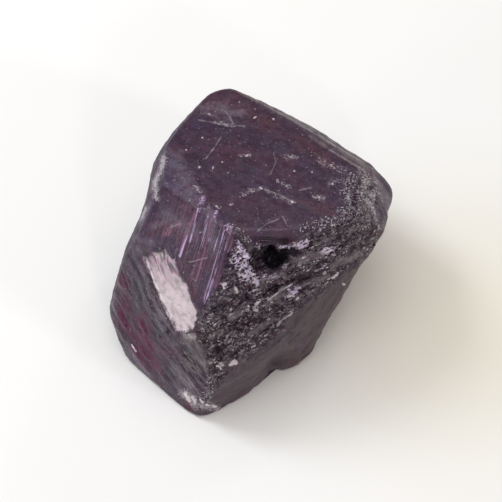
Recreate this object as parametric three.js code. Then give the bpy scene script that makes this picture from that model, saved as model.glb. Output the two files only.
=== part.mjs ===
// Raw amethyst crystal: one loose, dark crystal, broken and worn, that lies on its flat underside.
// Millimetres, +Z up. The origin is on the resting surface, under the middle of the stone.
//
// The stone starts as the convex solid that its flat faces enclose. Its surface is cut into small
// triangles, finer where the stone is broken, and each corner is then moved: edges are worn round,
// broken faces get blocks and ledges, and single chips, pits and nubs are cut or raised.

import * as THREE from 'three';
import { ConvexGeometry } from 'three/addons/geometries/ConvexGeometry.js';
import { ImprovedNoise } from 'three/addons/math/ImprovedNoise.js';
import { mergeVertices } from 'three/addons/utils/BufferGeometryUtils.js';

// Driving dimensions
const CORE_HEIGHT = 9.5; // the middle that every face is measured from, above the resting surface
const EDGE_SHARPNESS = 50; // 50 wears about 0.2 mm off an edge, and a higher number less
const BLEND = 0.3; // how far the relief of one face reaches into the next
const RESTING_MARGIN = 1.2; // the underside is quite flat up to this far from its rim
const RELIEF_RISE = 0.9; // the relief grows to its full height this far above the resting surface

// Finishes. lumps and grain are heights of the relief, and edge is the longest side of a triangle.
const FINISHES = {
  growth: { lumps: 0.1, grain: 0.02, edge: 2.4 },
  striated: { lumps: 0.06, grain: 0.02, edge: 0.95 },
  broken: { lumps: 0.26, grain: 0.08, edge: 0.78 },
  shell: { lumps: 0.26, grain: 0.04, edge: 1.55 },
  resting: { lumps: 0, grain: 0, edge: 3.5 },
};

// Flat faces. heading turns the outward normal from +X towards +Y and tilt leans it from +Z, both in
// degrees. reach is how far the face lies from the core.
const FACES = [
  { name: 'table', heading: 44.5, tilt: 20.5, reach: 9, finish: 'growth' },
  { name: 'striated', heading: -126.9, tilt: 46.8, reach: 11.4, finish: 'striated' },
  { name: 'leftFront', heading: -133.7, tilt: 72.2, reach: 11.7, finish: 'shell' },
  { name: 'left', heading: 166.4, tilt: 78.1, reach: 12.8, finish: 'growth' },
  { name: 'shoulder', heading: 172.7, tilt: 63.4, reach: 13.4, finish: 'growth' },
  { name: 'topLeft', heading: 147.6, tilt: 69.4, reach: 14.2, finish: 'growth' },
  { name: 'top', heading: 69.4, tilt: 79.8, reach: 16.9, finish: 'growth' },
  { name: 'band', heading: -52.5, tilt: 59.1, reach: 9.5, finish: 'broken' },
  { name: 'bandLow', heading: -67.5, tilt: 59.3, reach: 9.2, finish: 'broken' },
  { name: 'frontLobe', heading: -58.7, tilt: 90.2, reach: 10.6, finish: 'shell' },
  { name: 'rightFront', heading: -42.1, tilt: 85.7, reach: 9.6, finish: 'shell' },
  { name: 'rightCorner', heading: 7.4, tilt: 48.6, reach: 12.7, finish: 'shell' },
  { name: 'rightUnder', heading: -20.1, tilt: 111.9, reach: 11.3, finish: 'shell' },
  { name: 'rim', heading: 53.1, tilt: 49.5, reach: 13.6, finish: 'growth' },
  { name: 'backRight', heading: 47.5, tilt: 81.8, reach: 16.4, finish: 'shell' },
  { name: 'backLeft', heading: 128, tilt: 98.8, reach: 14.7, finish: 'shell' },
  { name: 'backUnder', heading: 85, tilt: 128, reach: 13.4, finish: 'shell' },
  { name: 'backRightUnder', heading: 33.6, tilt: 129.3, reach: 14.6, finish: 'shell' },
  { name: 'leftUnder', heading: 158.5, tilt: 129.8, reach: 13.7, finish: 'shell' },
  { name: 'tipUnder', heading: -111.1, tilt: 114.5, reach: 18.8, finish: 'shell' },
  { name: 'underside', heading: 0, tilt: 180, reach: CORE_HEIGHT, finish: 'resting' },
];

// Ledges run along a direction. Each climbs slowly over most of its pitch and drops sharply over the
// rest. wander is how far they bend.
const LEDGES = [
  { faces: ['band', 'bandLow'], along: [13, 12.2, -1], pitch: 2.3, height: 0.42, wander: 1.3 },
  { faces: ['leftFront'], along: [4, -6, -4.6], pitch: 2.6, height: 0.2, wander: 1.1 },
  { faces: ['backRight', 'backLeft'], along: [9, -8, 3], pitch: 4.4, height: 0.3, wander: 1.6 },
];
const DROP_SHARE = 0.3; // the share of a ledge's pitch that its drop takes
const LEDGE_JITTER = 0.35; // small bends of a ledge
const LEDGE_FADE = { middle: 0.55, swing: 1.1, most: 1.2 }; // how a ledge's height comes and goes

// Blocks split a broken face into small flat facets, each tipped its own way. They are size across
// and stretch times as long, in rows along a direction.
const BLOCKS = [
  { faces: ['band', 'bandLow'], along: [13, 12.2, -1], size: 1.5, stretch: 1.7, height: 0.34 },
  { faces: ['leftFront'], along: [4, -6, -4.6], size: 1.6, stretch: 3, height: 0.14 },
  {
    faces: ['backUnder', 'backRightUnder', 'leftUnder'],
    along: [10, -6, 1],
    size: 3,
    stretch: 1.6,
    height: 0.4,
  },
];
const BLOCK_BEND = 0.4; // how far a row of blocks bends
const BLOCK_LEAN = 1.6; // the steepest lean of a block's facet is half of this

// How wide the waves of the relief are.
const WAVES = {
  lumps: 6.5,
  grain: 1.7,
  wander: 4.5,
  jitter: 1.6,
  fade: 3.6,
  blocks: 2.4,
  ribs: 6,
  scars: 1.4,
};

// Low ribs that grew across the striated face.
const RIBS = { face: 'striated', along: [-2.4, -5.5, -6.2], pitch: 2.4, height: 0.07, wander: 0.4 };

// A shell break spreads from the point of the blow: a shallow bowl with ripples about that point.
const SHELL_BREAKS = [
  { face: 'backRight', at: [9, 14, 1], radius: 14, bowl: 1.1, ripple: 0.16, pitch: 3.1 },
  { face: 'rightUnder', at: [13.2, 3, 10.5], radius: 12, bowl: 0.4, ripple: 0.18, pitch: 2.8 },
  { face: 'rightFront', at: [6, -7, 13], radius: 9, bowl: 0.2, ripple: 0.08, pitch: 2.4 },
  { face: 'leftUnder', at: [-13, -4, 4], radius: 9, bowl: 0.3, ripple: 0.16, pitch: 2.6 },
];

// Single scars about a short line from a to b: a hollow where depth is above 0, a nub below 0. edge is
// the longest side of a triangle there.
const SCARS = [
  { name: 'paleChip', a: [-10, -4.7, 14.6], b: [-6.5, -9.8, 12.3], radius: 1.8, depth: 0.7, edge: 0.8 },
  { name: 'darkPit', a: [0.8, -6.5, 18], b: [2.4, -6.3, 17.6], radius: 1.35, depth: 1.2, edge: 0.6 },
  { name: 'pitTail', a: [3.6, -5.6, 17.2], b: [7.6, -2.6, 16.6], radius: 1, depth: 0.35, edge: 0.8 },
  { name: 'redPit', a: [-3.7, -12.6, 9], b: [-3.4, -12.8, 8.2], radius: 0.9, depth: 0.4, edge: 0.8 },
  { name: 'tipChip', a: [-6.6, -14.6, 1.6], b: [-4.6, -14.9, 1.2], radius: 1.2, depth: 0.4, edge: 0.8 },
  { name: 'edgeFlakeHigh', a: [-8.4, 8.6, 18.4], b: [-8.8, 5.6, 19.4], radius: 0.9, depth: 0.3, edge: 0.8 },
  { name: 'edgeFlakeLow', a: [-8.8, 4, 20.4], b: [-8.7, 2.4, 20.9], radius: 0.9, depth: 0.35, edge: 0.8 },
  { name: 'leftDish', a: [-11.6, 2.4, 14.8], b: [-12.2, 8, 5], radius: 4.2, depth: 0.5, edge: 1.9 },
  { name: 'backFlake', a: [8.6, 11.6, 12.4], b: [11.3, 9, 12.4], radius: 1.5, depth: 0.45, edge: 0.9 },
  { name: 'backDish', a: [-3, 17.6, 10.8], b: [3.4, 16.4, 6.6], radius: 2.6, depth: 0.5, edge: 1.3 },
  { name: 'cornerStep', a: [14.9, 3.4, 11], b: [15, 3.4, 10.2], radius: 0.8, depth: 0.35, edge: 0.8 },
  { name: 'flankLobe', a: [13.9, 2, 9.4], b: [12.3, 0, 7.4], radius: 1.6, depth: -0.45, edge: 0.9 },
  { name: 'flankHollow', a: [9.9, -3, 4], b: [8.4, -4.8, 2.4], radius: 2.2, depth: 0.2, edge: 1.1 },
];
const SCAR_RAGGED = 0.25; // how far a scar's outline strays, as a share of its radius
const SCAR_SURROUND = 1.15; // the triangles are small up to this share of a scar's radius

// A notch runs up the front from the resting surface, between the two smooth lobes. Its two walls
// meet in a sharp line, and the left one is the steeper.
const NOTCH = {
  at: [2.4, -11],
  heading: 98,
  depth: 1.8,
  left: 1.1,
  right: 1.6,
  inwards: 4,
  fadeFrom: 2.5,
  top: 7.5,
};

const CORE = new THREE.Vector3(0, 0, CORE_HEIGHT);
const TOUCHING = 1e-6; // a point is on a face when it is closer than this
const NEARLY_PARALLEL = 1e-4;
const perlin = new ImprovedNoise();

const vector = (xyz) => new THREE.Vector3(...xyz);

// Smooth noise between about -1 and 1 that varies over size. seed picks another pattern.
const wave = (p, size, seed = 0) =>
  perlin.noise(p.x / size + seed * 7.3, p.y / size - seed * 3.1, p.z / size + 0.5);

// A random number from 0 to 1 for a cell of the blocks.
function cellRandom(x, y, z, n) {
  const s = Math.sin(x * 127.1 + y * 311.7 + z * 74.7 + n * 53.9) * 43758.5453;
  return s - Math.floor(s);
}

const faces = FACES.map((face) => {
  const heading = THREE.MathUtils.degToRad(face.heading);
  const tilt = THREE.MathUtils.degToRad(face.tilt);
  const level = Math.sin(tilt);
  const normal = new THREE.Vector3(level * Math.cos(heading), level * Math.sin(heading), Math.cos(tilt));
  return { ...face, normal, finish: FINISHES[face.finish] };
});

// The corners of the solid that the faces enclose, measured from the core: the points where three
// faces meet that are outside no other face.
function cornerPoints() {
  const corners = [];
  faces.forEach((a, i) =>
    faces.slice(i + 1).forEach((b, j) =>
      faces.slice(i + j + 2).forEach((c) => {
        const bc = b.normal.clone().cross(c.normal);
        const volume = a.normal.dot(bc);
        if (Math.abs(volume) < NEARLY_PARALLEL) return;
        const corner = bc
          .multiplyScalar(a.reach)
          .addScaledVector(c.normal.clone().cross(a.normal), b.reach)
          .addScaledVector(a.normal.clone().cross(b.normal), c.reach)
          .divideScalar(volume);
        const inside = (face) => face.normal.dot(corner) < face.reach + TOUCHING;
        if (faces.every(inside)) corners.push(corner);
      })
    )
  );
  return corners;
}

// How far a point, measured from the core, is from a scar's line, as a share of the scar's radius.
// The noise makes the scar's outline ragged.
function shareOfScar(point, scar) {
  const line = new THREE.Line3(vector(scar.a).sub(CORE), vector(scar.b).sub(CORE));
  const nearest = line.closestPointToPoint(point, true, new THREE.Vector3());
  return (nearest.distanceTo(point) / scar.radius) * (1 + SCAR_RAGGED * wave(point, WAVES.scars, 9));
}

// The longest side that a triangle may have at a point of the enclosed solid.
function longestSide(point) {
  const touching = faces.filter((face) => face.reach - face.normal.dot(point) < BLEND);
  const scars = SCARS.filter((scar) => shareOfScar(point, scar) < SCAR_SURROUND);
  return Math.min(...touching.map((face) => face.finish.edge), ...scars.map((scar) => scar.edge));
}

// Halves the sides that are too long, until none is left. Both triangles at a side share its middle,
// so the surface stays closed. A triangle that is halved anywhere is halved at its longest side too,
// so none gets thin.
function refine(points, triangles) {
  const key = (a, b) => (a < b ? `${a},${b}` : `${b},${a}`);
  const side = (a, b) => points[a].distanceTo(points[b]);
  const longestFirst = ([a, b, c]) => {
    if (side(a, b) >= side(b, c) && side(a, b) >= side(c, a)) return [a, b, c];
    return side(b, c) >= side(c, a) ? [b, c, a] : [c, a, b];
  };
  for (;;) {
    triangles = triangles.map(longestFirst);
    const middles = new Map();
    const halve = (a, b) => middles.set(key(a, b), points[a].clone().lerp(points[b], 0.5));
    for (const [a, b] of triangles) {
      const middle = points[a].clone().lerp(points[b], 0.5);
      if (side(a, b) > longestSide(middle)) halve(a, b);
    }
    if (middles.size === 0) return triangles;
    let before = 0;
    while (before !== middles.size) {
      before = middles.size;
      const halved = triangles.filter(([a, b, c]) => middles.has(key(b, c)) || middles.has(key(c, a)));
      halved.forEach(([a, b]) => halve(a, b));
    }
    const numbers = new Map([...middles].map(([edge, middle]) => [edge, points.push(middle) - 1]));
    triangles = triangles.flatMap(([a, b, c]) => {
      const ab = numbers.get(key(a, b));
      const bc = numbers.get(key(b, c));
      const ca = numbers.get(key(c, a));
      if (ab === undefined) return [[a, b, c]];
      const atA = ca === undefined ? [[c, a, ab]] : [[c, ca, ab], [ca, a, ab]];
      const atB = bc === undefined ? [[b, c, ab]] : [[b, bc, ab], [bc, c, ab]];
      return [...atA, ...atB];
    });
  }
}

// A ledge's height along its pitch: it climbs from 0 to 1 and then drops.
function ledgeStep(x) {
  const share = x - Math.floor(x);
  const climb = 1 - DROP_SHARE;
  return share < climb ? share / climb : (1 - share) / DROP_SHARE;
}

// The height of the block facet at (x, y, z), counted in blocks: the plane of the nearest block.
function blockFacet(x, y, z) {
  let nearest = Infinity;
  let height = 0;
  for (let i = Math.floor(x) - 1; i <= Math.floor(x) + 1; i++)
    for (let j = Math.floor(y) - 1; j <= Math.floor(y) + 1; j++)
      for (let k = Math.floor(z) - 1; k <= Math.floor(z) + 1; k++) {
        const dx = x - i - cellRandom(i, j, k, 1);
        const dy = y - j - cellRandom(i, j, k, 2);
        const dz = z - k - cellRandom(i, j, k, 3);
        const away = dx * dx + dy * dy + dz * dz;
        if (away >= nearest) continue;
        nearest = away;
        const lean = (cellRandom(i, j, k, 4) - 0.5) * dx + (cellRandom(i, j, k, 5) - 0.5) * dy;
        height = cellRandom(i, j, k, 6) - 0.5 + BLOCK_LEAN * lean;
      }
  return height;
}

// The relief of one face at a point of the stone: how far the surface stands out there.
function faceRelief(face, p) {
  let height = face.finish.lumps * wave(p, WAVES.lumps) + face.finish.grain * wave(p, WAVES.grain, 2);
  for (const { faces: names, along, pitch, height: rise, wander } of LEDGES) {
    if (!names.includes(face.name)) continue;
    const across = vector(along).cross(face.normal).normalize();
    const bend = wander * wave(p, WAVES.wander, 3) + LEDGE_JITTER * wave(p, WAVES.jitter, 6);
    const fade = LEDGE_FADE.middle + LEDGE_FADE.swing * wave(p, WAVES.fade, 5);
    const step = ledgeStep((p.dot(across) + bend) / pitch) - 0.5;
    height += rise * THREE.MathUtils.clamp(fade, 0, LEDGE_FADE.most) * step;
  }
  for (const { faces: names, along, size, stretch, height: rise } of BLOCKS) {
    if (!names.includes(face.name)) continue;
    const direction = vector(along).normalize();
    const across = vector(along).cross(face.normal).normalize();
    const bent = p.dot(across) + BLOCK_BEND * wave(p, WAVES.blocks, 8);
    const row = p.dot(direction) / (size * stretch);
    height += rise * blockFacet(row, bent / size, p.dot(face.normal) / size);
  }
  if (face.name === RIBS.face) {
    const across = vector(RIBS.along).cross(face.normal).normalize();
    const place = p.dot(across) + RIBS.wander * wave(p, WAVES.ribs, 4);
    height += RIBS.height * Math.sin((2 * Math.PI * place) / RIBS.pitch);
  }
  for (const { face: name, at, radius, bowl, ripple, pitch } of SHELL_BREAKS) {
    const away = p.distanceTo(vector(at));
    if (name !== face.name || away > radius) continue;
    const rings = ripple * Math.sin((2 * Math.PI * away) / pitch);
    height += (rings - bowl * Math.sin((Math.PI * away) / radius)) * (1 - away / radius);
  }
  return height;
}

// Pushes the stone in at the notch, most at its line.
function pushInNotch(p) {
  const heading = THREE.MathUtils.degToRad(NOTCH.heading);
  const away = new THREE.Vector2(p.x - NOTCH.at[0], p.y - NOTCH.at[1]);
  away.rotateAround(new THREE.Vector2(), -heading);
  const across = away.y > 0 ? away.y / NOTCH.left : -away.y / NOTCH.right;
  const fade = 1 - THREE.MathUtils.smoothstep(p.z, NOTCH.fadeFrom, NOTCH.top);
  const push = NOTCH.depth * fade * Math.exp(-across - Math.max(away.x, 0) / NOTCH.inwards);
  return p.add(new THREE.Vector3(push * Math.cos(heading), push * Math.sin(heading), 0));
}

// Moves a point of the enclosed solid, measured from the core, to the worn and broken surface.
function weather(point) {
  const lies = (face) => face.reach - face.normal.dot(point); // how deep the point is under a face
  const others = faces.filter((face) => face.name !== 'underside');
  if (lies(faces.at(-1)) < TOUCHING && others.every((face) => lies(face) > RESTING_MARGIN))
    return pushInNotch(point.clone().add(CORE).setZ(0));

  // the soft least of all the faces' distances along this ray wears the edges round
  const sum = faces.reduce((total, face) => {
    const share = Math.max(face.normal.dot(point) / face.reach, 0);
    return total + share ** EDGE_SHARPNESS;
  }, 0);
  const worn = point.clone().multiplyScalar(sum ** (-1 / EDGE_SHARPNESS));
  const p = worn.clone().add(CORE);

  const normal = new THREE.Vector3();
  let height = 0;
  let total = 0;
  for (const face of faces) {
    const weight = Math.exp(-lies(face) / BLEND);
    if (weight < 1e-3) continue;
    normal.addScaledVector(face.normal, weight);
    height += weight * faceRelief(face, p);
    total += weight;
  }
  height /= total;
  SCARS.forEach((scar) => {
    height -= scar.depth * Math.max(1 - shareOfScar(worn, scar) ** 2, 0);
  });
  const rise = THREE.MathUtils.smoothstep(p.z, 0, RELIEF_RISE);
  p.addScaledVector(normal.normalize(), height * rise);
  return pushInNotch(p.setZ(Math.max(p.z, 0)));
}

function crystalGeometry() {
  const hull = new ConvexGeometry(cornerPoints());
  hull.deleteAttribute('normal');
  const merged = mergeVertices(hull, 1e-3);
  const corners = merged.getAttribute('position');
  const points = Array.from({ length: corners.count }, (_, i) =>
    new THREE.Vector3().fromBufferAttribute(corners, i)
  );
  const index = Array.from(merged.index.array);
  const triangles = Array.from({ length: index.length / 3 }, (_, i) => index.slice(3 * i, 3 * i + 3));
  const fine = refine(points, triangles);

  const geometry = new THREE.BufferGeometry().setFromPoints(points.map(weather));
  geometry.setIndex(fine.flat());
  geometry.computeBoundingBox();
  const middle = geometry.boundingBox.getCenter(new THREE.Vector3());
  geometry.translate(-middle.x, -middle.y, -geometry.boundingBox.min.z);
  geometry.computeVertexNormals();
  return geometry;
}

const amethyst = new THREE.MeshStandardMaterial({ color: 0x4a3448, roughness: 0.34, metalness: 0 });
const crystal = new THREE.Mesh(crystalGeometry(), amethyst);
crystal.name = 'crystal';

const stone = new THREE.Group();
stone.add(crystal);

export default stone;
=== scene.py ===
# A loose, dark purple raw crystal that lies on a pale surface.
import math

import bmesh
import bpy
import numpy as np
from mathutils import Matrix, Vector, noise


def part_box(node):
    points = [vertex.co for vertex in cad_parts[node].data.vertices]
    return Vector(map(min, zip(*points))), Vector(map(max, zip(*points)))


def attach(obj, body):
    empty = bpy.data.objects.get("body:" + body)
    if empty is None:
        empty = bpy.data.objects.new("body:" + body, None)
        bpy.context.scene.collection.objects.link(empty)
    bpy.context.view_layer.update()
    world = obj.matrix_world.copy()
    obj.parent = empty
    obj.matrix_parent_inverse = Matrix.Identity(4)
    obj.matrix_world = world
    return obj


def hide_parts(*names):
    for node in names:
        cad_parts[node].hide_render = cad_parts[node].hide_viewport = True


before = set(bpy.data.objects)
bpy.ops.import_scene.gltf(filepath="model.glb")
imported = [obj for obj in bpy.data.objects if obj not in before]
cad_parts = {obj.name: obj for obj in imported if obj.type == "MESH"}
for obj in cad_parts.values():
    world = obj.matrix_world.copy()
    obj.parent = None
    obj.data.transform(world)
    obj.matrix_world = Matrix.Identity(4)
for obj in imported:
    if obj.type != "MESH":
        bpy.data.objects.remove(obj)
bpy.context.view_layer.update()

metresPerMm = 0.001

# The camera looks down on the stone from in front. Lengths are in millimetres.
view = {
    "target": (-0.116, -1.397, 9.5),
    "distance": 190,
    "elevation": 58,  # degrees above the surface
    "framePixels": 502,
    "mmPerPixel": 0.1068,  # at the target
    "sensor": 36,
    "clipStart": 10,
}

# The stone's form, in millimetres and degrees. Points of the stone are measured from its core.
form = {
    "node": "crystal",
    "slot": "amethyst",
    "core": (-0.116, -1.397, 9.5),
    "mergeDistance": 0.0001,
    "edgeSharpness": 50,
    "chipSharpness": 20,
    "blend": 0.12,  # how far one face's finish reaches into the next
    "ragged": 2.6,  # pixels: how unevenly the broken band bites into its neighbours
    "bandBorder": 1.2,  # pixels over which the band's relief sets in
    "chipBorder": 4,  # pixels over which the chip's softer edge sets in
    "outlineReach": 20,  # pixels: how far from an outline its distance is kept
    "footRise": 0.8,  # the relief sets in over this height above the surface
    "grazing": (0.05, 0.2),  # marks fade out where a face turns this far from the camera
    "splitAbove": 1.4,  # an edge is split when it is this many times too long
    "splitTurns": 12,
    # heading and tilt of the outward normal, distance from the core, zone
    "faces": {
        "table": (44.5, 20.5, 9, "table"),
        "striated": (-126.9, 46.8, 11.4, "ribbed"),
        "leftFront": (-133.7, 72.2, 11.7, "flow"),
        "left": (166.4, 78.1, 12.8, "side"),
        "shoulder": (172.7, 63.4, 13.4, "side"),
        "topLeft": (147.6, 69.4, 14.2, "side"),
        "top": (69.4, 79.8, 16.9, "rim"),
        "band": (-52.5, 59.1, 9.5, "broken"),
        "bandLow": (-67.5, 59.3, 9.2, "broken"),
        "frontLobe": (-58.7, 90.2, 10.6, "lobe"),
        "rightFront": (-42.1, 85.7, 9.6, "lobe"),
        "rightCorner": (7.4, 48.6, 12.7, "rim"),
        "rightUnder": (-20.1, 111.9, 11.3, "lobe"),
        "rim": (53.1, 49.5, 13.6, "rim"),
        "backRight": (47.5, 81.8, 16.4, "back"),
        "backLeft": (128, 98.8, 14.7, "back"),
        "backUnder": (85, 128, 13.4, "back"),
        "backRightUnder": (33.6, 129.3, 14.6, "back"),
        "leftUnder": (158.5, 129.8, 13.7, "back"),
        "tipUnder": (-111.1, 114.5, 18.8, "back"),
        "underside": (0, 180, 9.5, "under"),
    },
    # the wanted length of a mesh edge in each zone
    "edges": {
        "table": 0.18, "ribbed": 0.14, "flow": 0.15, "side": 0.22, "rim": 0.2, "broken": 0.113,
        "lobe": 0.2, "back": 0.4, "under": 1,
    },
    # how often each zone's coarse facets are smoothed
    "smoothing": {
        "table": 4, "ribbed": 4, "flow": 14, "side": 24, "rim": 24, "broken": 3, "lobe": 36, "back": 8,
    },
    "ribsAlong": (-2.4, -5.5, -6.2),
    "ledgesAlong": (13, 12.2, -1),
    # the left front's grooves run down the frame along a bent line: pixels, then slope and bend
    "flowStart": (143, 262),
    "flowSlope": 0.4,
    "flowBend": 0.0017,
}

# Areas of the stone by their outlines from the camera, in pixels of the frame.
outlines = {
    "band": [
        (236, 226), (240, 232), (252, 243), (270, 247), (290, 243), (300, 240), (310, 232), (325, 225),
        (335, 220), (345, 212), (350, 200), (352, 185), (362, 175), (372, 180), (378, 195), (376, 210),
        (384, 222), (380, 240), (368, 256), (352, 268), (335, 282), (318, 296), (300, 308), (290, 318),
        (284, 330), (275, 340), (258, 352), (240, 362), (230, 368), (226, 378), (218, 388), (211, 388),
        (207, 380), (208, 366), (202, 352), (196, 338), (197, 322), (205, 300), (212, 290), (222, 280),
        (226, 262), (232, 245),
    ],
    "chip": [
        (165, 250), (173, 260), (179, 275), (185, 284), (191, 298), (197, 313), (195, 327), (186, 332),
        (177, 330), (168, 314), (159, 296), (151, 277), (144, 257), (154, 253),
    ],
}

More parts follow.
